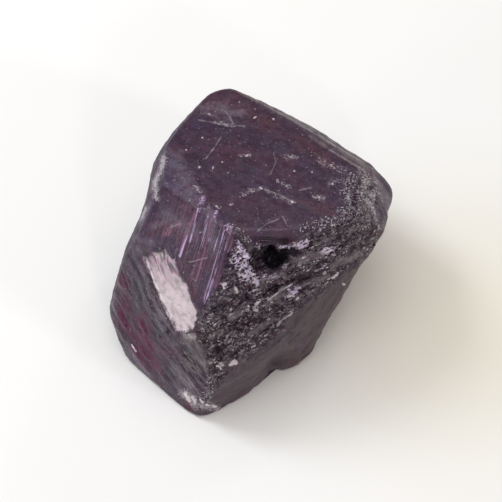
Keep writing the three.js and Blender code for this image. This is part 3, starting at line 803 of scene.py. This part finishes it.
def noiseNode(tree, vector, detail, distortion):
    node = tree.nodes.new("ShaderNodeTexNoise")
    tree.links.new(vector, node.inputs["Vector"])
    node.inputs["Scale"].default_value = 1
    node.inputs["Detail"].default_value = detail
    node.inputs["Distortion"].default_value = distortion
    return node.outputs["Fac"]


def vectorNode(tree, operation, first, second):
    node = tree.nodes.new("ShaderNodeVectorMath")
    node.operation = operation
    setSocket(tree, node.inputs[0], first)
    setSocket(tree, node.inputs[1], second)
    return node.outputs["Value" if operation in ("DOT_PRODUCT", "DISTANCE") else "Vector"]


# Flat facets, each tipped its own way, one unit across. Returns their height and three numbers
# from 0 to 1 that each facet draws.
def facetNode(tree, vector):
    node = tree.nodes.new("ShaderNodeTexVoronoi")
    tree.links.new(vector, node.inputs["Vector"])
    node.inputs["Scale"].default_value = 1
    gap = vectorNode(tree, "SUBTRACT", vector, node.outputs["Position"])
    lean = vectorNode(tree, "SUBTRACT", node.outputs["Color"], (0.5, 0.5, 0.5))
    draws = tree.nodes.new("ShaderNodeSeparateColor")
    tree.links.new(node.outputs["Color"], draws.inputs[0])
    return vectorNode(tree, "DOT_PRODUCT", gap, lean), draws.outputs


def maskNode(tree, name):
    node = tree.nodes.new("ShaderNodeAttribute")
    node.attribute_name = name
    return node.outputs["Fac"]


def colour(red, green, blue):
    linear = [c / 12.92 if c <= 0.04045 else ((c + 0.055) / 1.055) ** 2.4 for c in (red, green, blue)]
    return (*linear, 1)


tones = {
    "body": colour(0.215, 0.148, 0.238),
    "plum": colour(0.245, 0.155, 0.232),
    "lobe": colour(0.225, 0.16, 0.195),
    "maroon": colour(0.28, 0.06, 0.21),
    "russet": colour(0.29, 0.16, 0.19),
    "blue": colour(0.22, 0.21, 0.33),
    "teal": colour(0.15, 0.19, 0.235),
    "film": colour(0.44, 0.40, 0.47),
    "veil": colour(0.50, 0.47, 0.47),
    "rose": colour(0.58, 0.38, 0.50),
    "lilac": colour(0.80, 0.70, 0.88),
    # black and hollow also paint shade: in the pit, hollows, creases, groove pits and ledge feet
    "black": colour(0.05, 0.03, 0.07),
    "wine": colour(0.21, 0.07, 0.165),
    "hollow": colour(0.12, 0.045, 0.12),
    # glow, lit and gleam colour painted glints and their painted glow; frost colours painted glints outside
    # the gleam too
    "glow": colour(0.36, 0.21, 0.40),
    "ash": colour(0.46, 0.42, 0.445),
    "frost": colour(0.77, 0.74, 0.77),
    "lit": colour(0.96, 0.93, 0.97),
    "gleam": colour(0.93, 0.85, 1.0),
    "chip": colour(0.76, 0.72, 0.745),
    "chipRose": colour(0.81, 0.68, 0.76),
    "pale": colour(0.92, 0.87, 0.90),
    "cool": (0.9, 1.07, 1.0, 1),  # cool and warm tint the body
    "warm": (1.1, 0.93, 1.0, 1),
}

# The stone's finish. Every value over its surface, a mask or a texture, is a field with a name.
finish = {
    "ior": 1.544,
    "specular": 0.36,
    "bumpDistance": 0.12,
    # textures: size in millimetres, stretch, what it is stretched along, detail and distortion
    "textures": {
        "wide": (3.5, 1, None, 3, 0), "medium": (0.9, 1, None, 4, 0), "tints": (0.55, 1, None, 2, 0.5),
        "flakes": (0.34, 1, None, 3, 1.4), "fine": (0.22, 1, None, 3, 0), "dust": (0.12, 1, None, 2, 0),
        "ledges": (0.18, 7, "ledges", 2, 0), "seams": (0.55, 8, "ledges", 2, 0.4),
        "lines": (0.1, 45, "ribs", 2, 0), "hues": (0.4, 20, "ribs", 2, 0),
    },
    "shard": (0.17, 2.4),  # size and stretch of the band's facets
    "crumb": (0.12, 1),
    # the left front's texture: its size along and across the flow, detail and distortion
    "flows": (2.4, 0.6, 2.4, 1.0),
    # marks with a ragged border: mark, the texture that roughens it, its softness and raggedness
    "patches": {
        "maroon": ("maroon", "flows", 0.8, 2.4), "stainAndGlow": ("maroon", "flakes", 0.9, 2.2),
        "russet": ("russet", "medium", 1.2, 1.2), "blue": ("blue", "flakes", 1.4, 1.6),
        "teal": ("teal", "medium", 1.4, 1.2), "film": ("film", "medium", 1.2, 1.2),
        "veil": ("veil", "flakes", 1, 1.6), "tread": ("tread", "ledges", 0.8, 1.6),
        "frost": ("frost", "flakes", 1.2, 3.2), "chipRose": ("rose", "fine", 0.6, 1.2),
        "curl": ("curl", "medium", 0.8, 1.6), "pebble": ("pebble", "fine", 0.6, 1.8),
        "sparkle": ("sparkle", "fine", 0.9, 1.2), "hollow": ("hollow", "flakes", 0.8, 1.2),
        "pit": ("pit", "fine", 0.5, 0.4),
    },
    # ramps: field, where it starts and ends, and its values there when they aren't 0 and 1
    "ramps": {
        "plum": ("wide", 0.38, 0.68), "mottle": ("medium", 0.48, 0.62), "tint": ("tints", 0.35, 0.65),
        "hiddenFilm": ("medium", 0.4, 0.75), "hiddenStain": ("wide", 0.45, 0.7),
        "mediumShade": ("medium", 0.3, 0.7, 0.86, 1.16), "fineShade": ("fine", 0.25, 0.75, 0.72, 1.32),
        "dustShade": ("dust", 0.2, 0.8, 0.7, 1.4), "brushed": ("flows", 0.35, 0.6, 0.15, 0.5),
        "comb": ("comb", 0, 0.7), "ribLine": ("lines", 0.46, 0.66), "ribHue": ("hues", 0.4, 0.6),
        "combed": ("lines", 0.36, 0.58), "hairs": ("lines", 0.46, 0.6), "rose": ("rose", 0, 0.9),
        "streak": ("streak", -0.2, 0.8), "streakBreaks": ("medium", 0.38, 0.52, 0.35, 1),
        "streakHue": ("hues", 0.5, 0.65), "groove": ("groove", 0, 0.5), "grooveCore": ("groove", 0, 0.6),
        "groovePits": ("flakes", 0.44, 0.38), "flowDark": ("flows", 0.5, 0.4),
        "flowShade": ("flows", 0.36, 0.64, 0.7, 1.3), "bandBorder": ("bandBorder", 8.5, 17.5),
        "coarse": ("medium", 0.42, 0.58, 0.35, 1), "dark": ("facetLight", 0.64, 0.74, 1, 0),
        "darkHue": ("medium", 0.36, 0.5), "grey": ("facetLight", 0.76, 0.83),
        "ledgeFoot": ("phase", 0.04, 0.16, 1, 0), "glow": ("gleam", -0.8, 0.6),
        "glowBreaks": ("fine", 0.4, 0.6), "gleam": ("gleam", 0, 0.6), "lit": ("chance", 1.9, 1.94),
        "litBreaks": ("fine", 0.28, 0.48), "gap": ("chance", 1.84, 1.76), "litHue": ("crumbBlue", 0.5, 0.9),
        "grit": ("grit", 0, 0.7), "gritLight": ("crumbBlue", 0, 1, 0.3, 0.9), "gritBump": ("grit", 0, 0.6),
        "gritPicked": ("gritChance", 1, 1.04), "bruise": ("bruise", -0.2, 0.8),
        "bruiseBorder": ("bruise", -0.4, 0.2), "bruisePicked": ("bruiseChance", 0.7, 0.8),
        "specks": ("crumbGreen", 0.98, 0.99), "frostBreaks": ("fine", 0.3, 0.65, 0.3, 0.85),
        "wear": ("fine", 0.5, 0.7), "chip": ("chipBorder", 5.6, 9.4), "chipFade": ("flows", 0.42, 0.6),
        "chipHue": ("medium", 0.42, 0.6), "chipDark": ("fine", 0.28, 0.42, 0.4, 0),
        "chipLight": ("fine", 0.6, 0.72, 0, 0.8), "chipFoot": ("medium", 0.38, 0.56),
        "lineBreaks": ("medium", 0.35, 0.65, 0.4, 1), "gloss": ("medium", 0.3, 0.7, 0.22, 0.38),
    },
    # thin veins where a field crosses a level: field, level, half width
    "veins": {
        "grooveDark": ("flows", 0.5, 0.028), "grooveLight": ("flows", 0.56, 0.04),
        "seamDark": ("seams", 0.5, 0.02), "seamLight": ("seams", 0.55, 0.03),
        "curl": ("flakes", 0.5, 0.1), "dimple": ("flakes", 0.42, 0.05),
    },
    # weighted sums of fields
    "sums": {
        "grooved": {"grooving": 0.75, "flow": 0.25},
        "bandBorder": {"band": 1, "medium": 12, "flakes": 8},
        "facetLight": {"pick": 0.25, "shardRed": 0.4, "ledges": 0.3, "medium": 0.5},
        "chance": {"shardBlue": 1, "gleaming": 0.7, "flakes": 0.9, "medium": 1},
        "gritChance": {"crumbRed": 1, "gritty": 0.24},
        "bruiseChance": {"flakes": 1, "bruised": 0.2},
        "chipBorder": {"chip": 1, "medium": 9, "flakes": 5},
        "gloss": {
            "sheen": 1, "side": 0.36, "rim": 0.15, "lobe": 0.12, "seam": 0.35, "chipShare": 0.2,
            "rough": -0.18,
        },
        "bump": {
            "shards": 3, "crumbs": 0.7, "bandLedges": 1.6, "gritCrumbs": 0.9, "fine": 0.12,
            "ribLines": 0.35, "flowLines": 0.7, "chipDust": 0.4,
        },
    },
    # how strongly each layer covers what is below it
    "cover": {
        "lobe": 0.85, "mottle": 0.14, "maroon": 0.95, "russet": 0.5, "blue": 0.5, "teal": 0.55, "film": 0.4,
        "hiddenFilm": 0.25, "hiddenStain": 0.4, "veil": 1, "rib": 0.3, "rose": 0.55, "streak": 0.8,
        "groovePits": 0.8, "grooveLight": 0.28, "grooveDark": 0.6, "stainAndGlow": 0.7, "tread": 0.8,
        "dark": 0.9, "grey": 0.9, "treadAsh": 0.6, "ledgeFoot": 0.6, "glow": 0.4, "seamLight": 0.5,
        "seamDark": 0.9, "gap": 0.85, "lit": 0.92, "grit": 1, "bruise": 0.45, "specks": 0.45, "frost": 1,
        "wear": 0.25, "chip": 0.94, "chipFade": 0.75, "chipRose": 0.5, "curl": 1, "dimple": 0.5,
        "chipFoot": 0.65, "scratch": 0.3, "crack": 0.9, "ridge": 0.75, "pebble": 0.9, "sparkle": 0.7,
        "hollow": 0.85, "pit": 1,
    },
    # thin lines, in pixels from their middle, and how far they fade at their ends
    "lineWidth": (0.3, 0.9),
    "lineRagged": 1.6,
    "lineEnds": 0.4,
}


# A ramp, a vein, a patch and a sum of the finish, made from their fields.
def ramp(tree, field, name):
    source, *limits = finish["ramps"][name]
    return rampNode(tree, field[source], *limits)


def vein(tree, field, name):
    source, level, halfWidth = finish["veins"][name]
    away = mathsNode(tree, "ABSOLUTE", mathsNode(tree, "SUBTRACT", field[source], level))
    return rampNode(tree, away, 0, halfWidth, 1.0, 0.0)


def patch(tree, field, name):
    mark, texture, soft, ragged = finish["patches"][name]
    wobble = times(tree, mathsNode(tree, "SUBTRACT", field[texture], 0.5), ragged)
    return rampNode(tree, mathsNode(tree, "ADD", field[mark], wobble), 0, soft)


def total(tree, field, name):
    return blendNode(tree, *[(field[part], weight) for part, weight in finish["sums"][name].items()])


# Lays a tone over the base where all the covers are, with the cover strength of that name.
def coat(tree, base, tone, name, *covers):
    return mixNode(tree, times(tree, *covers, finish["cover"][name]), base, tone)


def shade(tree, field, base, name):
    return mixNode(tree, 1.0, base, ramp(tree, field, name), "MULTIPLY")


# The masks on the mesh and the textures.
def stoneFields(tree, mesh):
    field = {a.name: maskNode(tree, a.name) for a in mesh.attributes if a.data_type == "FLOAT"}
    axes = {None: None, "ledges": ledgeAxes, "ribs": ribAxes}
    for name, (size, stretch, along, detail, distortion) in finish["textures"].items():
        field[name] = noiseNode(tree, grainNode(tree, size, stretch, axes[along]), detail, distortion)
    for name, along in (("shard", "ledges"), ("crumb", None)):
        field[name], draws = facetNode(tree, grainNode(tree, *finish[name], axes[along]))
        for channel, draw in zip(("Red", "Green", "Blue"), draws):
            field[name + channel] = draw
    along, across, detail, distortion = finish["flows"]
    stream = tree.nodes.new("ShaderNodeCombineXYZ")
    setSocket(tree, stream.inputs[0], times(tree, field["alongFlow"], 1 / along))
    setSocket(tree, stream.inputs[1], times(tree, field["acrossFlow"], 1 / across))
    field["flows"] = noiseNode(tree, stream.outputs[0], detail, distortion)
    return field


# Where the band is crumbled, smooth on a tread or broken, how light its facets are painted, and where its
# painted glints fall.
def bandFields(tree, field):
    field["bandBorder"] = total(tree, field, "bandBorder")
    field["crumbled"] = times(tree, field["rough"], ramp(tree, field, "bandBorder"))
    field["even"] = times(tree, patch(tree, field, "tread"), finish["cover"]["tread"])
    field["broken"] = times(tree, field["crumbled"], without(tree, field["even"]))
    field["coarse"] = ramp(tree, field, "coarse")
    field["facetLight"] = total(tree, field, "facetLight")
    field["gleaming"] = ramp(tree, field, "gleam")
    field["chance"] = total(tree, field, "chance")


def bodyColour(tree, field):
    base = mixNode(tree, ramp(tree, field, "plum"), tones["body"], tones["plum"])
    base = coat(tree, base, tones["lobe"], "lobe", field["lobe"])
    base = coat(tree, base, tones["film"], "mottle", field["lobe"], ramp(tree, field, "mottle"))
    # maroon is partly painted glow of light through the stone; blue, teal and film are partly painted
    # reflection
    for name in ("maroon", "russet", "blue", "teal", "film"):
        base = coat(tree, base, tones[name], name, patch(tree, field, name))
    for name, tone in (("hiddenFilm", "film"), ("hiddenStain", "maroon")):
        base = coat(tree, base, tones[tone], name, field["hidden"], ramp(tree, field, name))
    tint = mixNode(tree, ramp(tree, field, "tint"), tones["cool"], tones["warm"])
    base = mixNode(tree, 1.0, base, tint, "MULTIPLY")
    for name in ("mediumShade", "fineShade", "dustShade"):
        base = shade(tree, field, base, name)
    # the pale veil is a painted sheen of reflected light
    return coat(tree, base, tones["veil"], "veil", patch(tree, field, "veil"), ramp(tree, field, "brushed"))


# Fine lines along the ribs, and the wider rose and lilac streaks: painted reflections along the ribs.
def ribColour(tree, field, base):
    comb = mathsNode(tree, "MAXIMUM", field["ribbed"], ramp(tree, field, "comb"))
    hue = mixNode(tree, ramp(tree, field, "ribHue"), tones["rose"], tones["blue"])
    base = coat(tree, base, hue, "rib", comb, ramp(tree, field, "ribLine"))
    rose = times(tree, ramp(tree, field, "rose"), comb, ramp(tree, field, "combed"))
    base = coat(tree, base, tones["rose"], "rose", rose)
    hue = mixNode(tree, ramp(tree, field, "streakHue"), tones["lilac"], tones["rose"])
    streaks = [ramp(tree, field, name) for name in ("streak", "hairs", "streakBreaks")]
    return coat(tree, base, hue, "streak", *streaks)


# The left front's grooves: painted shade in their pits and creases, painted highlights beside them, and
# wine-red stains that are partly painted glow.
def grooveColour(tree, field, base):
    field["grooving"] = ramp(tree, field, "groove")
    grooved = times(tree, field["flow"], total(tree, field, "grooved"))
    # painted shade in the groove pits
    pits = [ramp(tree, field, name) for name in ("grooveCore", "groovePits", "flowDark")]
    base = coat(tree, base, tones["black"], "groovePits", *pits)
    base = mixNode(tree, field["flow"], base, shade(tree, field, base, "flowShade"))
    # painted highlight and painted shade lines beside the grooves
    base = coat(tree, base, tones["veil"], "grooveLight", vein(tree, field, "grooveLight"), grooved)
    base = coat(tree, base, tones["black"], "grooveDark", vein(tree, field, "grooveDark"), grooved)
    return coat(tree, base, tones["maroon"], "stainAndGlow", patch(tree, field, "stainAndGlow"), field["flow"])


# The broken band: facets painted dark or grey as painted light and shade, grey treads, painted shade at the
# ledges' feet, seams painted as highlight and shade lines, and painted glints with a painted glow and
# painted dark gaps.
def bandColour(tree, field, base):
    crumbled, broken = field["crumbled"], field["broken"]
    # facets painted dark or grey from facetLight: painted light and shade on the shards
    hue = mixNode(tree, ramp(tree, field, "darkHue"), tones["black"], tones["wine"])
    base = coat(tree, base, hue, "dark", broken, ramp(tree, field, "dark"))
    base = coat(tree, base, tones["ash"], "grey", crumbled, ramp(tree, field, "grey"))
    base = coat(tree, base, tones["ash"], "treadAsh", crumbled, field["even"])
    # painted shade at the foot of each ledge
    base = coat(tree, base, tones["black"], "ledgeFoot", broken, ramp(tree, field, "ledgeFoot"))
    # a painted lilac glow round the painted glints
    glow = times(tree, ramp(tree, field, "glow"), ramp(tree, field, "glowBreaks"))
    base = coat(tree, base, tones["glow"], "glow", crumbled, glow)
    # painted highlight and painted shade lines along the ledge seams
    base = coat(tree, base, tones["film"], "seamLight", crumbled, vein(tree, field, "seamLight"))
    base = coat(tree, base, tones["black"], "seamDark", crumbled, vein(tree, field, "seamDark"))
    # painted dark facets between the painted glints
    base = coat(tree, base, tones["hollow"], "gap", broken, field["gleaming"], ramp(tree, field, "gap"))
    # painted glints: lit facets in frost, gleam and lit colours
    hue = mixNode(tree, field["gleaming"], tones["frost"], tones["gleam"])
    hue = mixNode(tree, ramp(tree, field, "litHue"), hue, tones["lit"])
    return coat(tree, base, hue, "lit", broken, ramp(tree, field, "lit"), ramp(tree, field, "litBreaks"))


# Grit, bruises, specks and frosting, and worn edges.
def wearColour(tree, field, base):
    frost = tones["frost"]
    field["gritty"] = ramp(tree, field, "grit")
    field["gritChance"] = total(tree, field, "gritChance")
    picked = ramp(tree, field, "gritPicked")
    base = coat(tree, base, frost, "grit", picked, ramp(tree, field, "gritLight"))
    field["bruised"] = ramp(tree, field, "bruise")
    field["bruiseChance"] = total(tree, field, "bruiseChance")
    picked = ramp(tree, field, "bruisePicked")
    base = coat(tree, base, frost, "bruise", picked, ramp(tree, field, "bruiseBorder"))
    specks = times(tree, ramp(tree, field, "specks"), field["crumbBlue"])
    base = coat(tree, base, frost, "specks", specks, without(tree, field["lobe"]))
    base = coat(tree, base, frost, "frost", patch(tree, field, "frost"), ramp(tree, field, "frostBreaks"))
    return coat(tree, base, tones["ash"], "wear", field["edge"], ramp(tree, field, "wear"))


# The pale chip, which fades towards its top and is whiter at its foot.
def chipColour(tree, field, base):
    cover = finish["cover"]
    field["chipBorder"] = total(tree, field, "chipBorder")
    faded = times(tree, field["chipTop"], ramp(tree, field, "chipFade"), cover["chipFade"])
    solid = mathsNode(tree, "SUBTRACT", cover["chip"], faded)
    field["chipShare"] = times(tree, ramp(tree, field, "chip"), solid)
    chip = mixNode(tree, ramp(tree, field, "chipHue"), tones["chip"], tones["chipRose"])
    chip = mixNode(tree, ramp(tree, field, "chipDark"), chip, tones["film"])
    chip = mixNode(tree, ramp(tree, field, "chipLight"), chip, tones["pale"])
    chip = coat(tree, chip, tones["chipRose"], "chipRose", patch(tree, field, "chipRose"))
    chip = coat(tree, chip, tones["pale"], "curl", patch(tree, field, "curl"), vein(tree, field, "curl"))
    foot = without(tree, field["chipTop"])
    chip = coat(tree, chip, tones["film"], "dimple", foot, vein(tree, field, "dimple"))
    chip = coat(tree, chip, tones["pale"], "chipFoot", foot, ramp(tree, field, "chipFoot"))
    return mixNode(tree, field["chipShare"], base, chip)


# Scratches, cracks, partly painted shade along the chip's step, and ridges painted with highlights.
def lineColour(tree, field, base):
    wobble = times(tree, mathsNode(tree, "SUBTRACT", field["fine"], 0.5), finish["lineRagged"])
    for name, tone in thinLines.items():
        offLine = mathsNode(tree, "ABSOLUTE", mathsNode(tree, "ADD", field[name + "Side"], wobble))
        border = rampNode(tree, offLine, *finish["lineWidth"], 1.0, 0.0)
        middle = rampNode(tree, field[name], 0, finish["lineEnds"])
        base = coat(tree, base, tones[tone], name, border, middle, ramp(tree, field, "lineBreaks"))
    return base


# Pebbles, painted glints (sparkle), and painted shade in the hollows and the pit.
def spotColour(tree, field, base):
    for name, tone in (("pebble", "pale"), ("sparkle", "pale"), ("hollow", "hollow"), ("pit", "black")):
        base = coat(tree, base, tones[tone], name, patch(tree, field, name))
    return base


# The finest relief, as a bump.
def stoneBump(tree, field):
    field["gritBump"] = ramp(tree, field, "gritBump")
    for name, parts in {
        "shards": ("broken", "coarse", "shard"), "crumbs": ("broken", "crumb"),
        "bandLedges": ("crumbled", "ledges"), "gritCrumbs": ("gritBump", "crumb"),
        "ribLines": ("ribbed", "lines"), "flowLines": ("flow", "flows"), "chipDust": ("chipShare", "dust"),
    }.items():
        field[name] = times(tree, *[field[part] for part in parts])
    bump = tree.nodes.new("ShaderNodeBump")
    bump.inputs["Strength"].default_value = 1
    bump.inputs["Distance"].default_value = finish["bumpDistance"] * metresPerMm
    tree.links.new(total(tree, field, "bump"), bump.inputs["Height"])
    return bump.outputs[0]


def stoneMaterial(mesh):
    material = bpy.data.materials.new("amethyst")
    material.use_nodes = True
    tree = material.node_tree
    shader = tree.nodes["Principled BSDF"]
    field = stoneFields(tree, mesh)
    bandFields(tree, field)
    base = bodyColour(tree, field)
    for paint in (ribColour, grooveColour, bandColour, wearColour, chipColour, lineColour, spotColour):
        base = paint(tree, field, base)
    field["sheen"] = ramp(tree, field, "gloss")
    tree.links.new(base, shader.inputs["Base Color"])
    tree.links.new(total(tree, field, "gloss"), shader.inputs["Roughness"])
    tree.links.new(stoneBump(tree, field), shader.inputs["Normal"])
    shader.inputs["IOR"].default_value = finish["ior"]
    shader.inputs["Specular IOR Level"].default_value = finish["specular"]
    print("stone finish made")
    return material


# The pale floor, with a darker, warmer painted shadow at the stone's right. Lengths are in millimetres.
floorLook = {
    "halfWidth": 1500,
    "pale": (0.85, 0.85, 0.855, 1),
    # warm is the colour of the painted shadow
    "warm": (0.77, 0.74, 0.66, 1),
    "paintedShadowAt": (25, -5, 0),
    "paintedShadowReach": 30,
    "roughness": 0.8,
}


def floorMaterial():
    material = bpy.data.materials.new("floor")
    material.use_nodes = True
    tree = material.node_tree
    shader = tree.nodes["Principled BSDF"]
    where = tree.nodes.new("ShaderNodeTexCoord").outputs["Object"]
    # painted shadow: darker and warmer towards paintedShadowAt
    away = vectorNode(tree, "DISTANCE", where, Vector(floorLook["paintedShadowAt"]) * metresPerMm)
    warm = rampNode(tree, away, 0, floorLook["paintedShadowReach"] * metresPerMm, 1.0, 0.0)
    tree.links.new(mixNode(tree, warm, floorLook["pale"], floorLook["warm"]), shader.inputs["Base Color"])
    shader.inputs["Roughness"].default_value = floorLook["roughness"]
    return material


def makeFloor():
    bm = bmesh.new()
    bmesh.ops.create_grid(bm, x_segments=1, y_segments=1, size=floorLook["halfWidth"] * metresPerMm)
    mesh = bpy.data.meshes.new("floor")
    bm.to_mesh(mesh)
    bm.free()
    mesh.materials.append(floorMaterial())
    floor = bpy.data.objects.new("floor", mesh)
    bpy.context.scene.collection.objects.link(floor)
    print("floor made")


# Each light: where it stands and how wide it is in millimetres, its radiance and its colour.
lights = {
    "ceiling": {"from": (-60, 60, 400), "size": 560, "radiance": 1.32, "colour": (0.95, 0.97, 1)},
    "window": {"from": (-165, 95, 205), "size": 80, "radiance": 15, "colour": (0.9, 0.95, 1)},
    "leftPanel": {"from": (-220, -150, 105), "size": 60, "radiance": 6, "colour": (0.95, 0.93, 1)},
    "rightPanel": {"from": (210, -120, 130), "size": 32, "radiance": 40, "colour": (0.97, 0.93, 1)},
    "frontPanel": {"from": (60, -230, 160), "size": 26, "radiance": 34, "colour": (1, 0.98, 1)},
    "backPanel": {"from": (120, 200, 190), "size": 36, "radiance": 14, "colour": (1, 1, 1)},
}
world = {"colour": (1, 0.86, 0.62, 1), "strength": 0.26}


def makeLights():
    data = bpy.data.worlds.new("studio")
    data.use_nodes = True
    background = data.node_tree.nodes["Background"]
    background.inputs["Color"].default_value = world["colour"]
    background.inputs["Strength"].default_value = world["strength"]
    bpy.context.scene.world = data
    for name, values in lights.items():
        lamp = bpy.data.lights.new(name, "AREA")
        lamp.size = values["size"] * metresPerMm
        lamp.energy = values["radiance"] * math.pi * lamp.size ** 2
        lamp.color = values["colour"]
        holder = bpy.data.objects.new(name, lamp)
        holder.location = Vector(values["from"]) * metresPerMm
        holder.rotation_euler = holder.location.to_track_quat("Z", "Y").to_euler()
        bpy.context.scene.collection.objects.link(holder)
    bpy.context.scene.view_settings.view_transform = "Standard"
    print("lights made")


makeCamera()
stone = makeStone()
stone.data.materials.append(stoneMaterial(stone.data))
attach(stone, "root")
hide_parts(form["node"])
makeFloor()
makeLights()
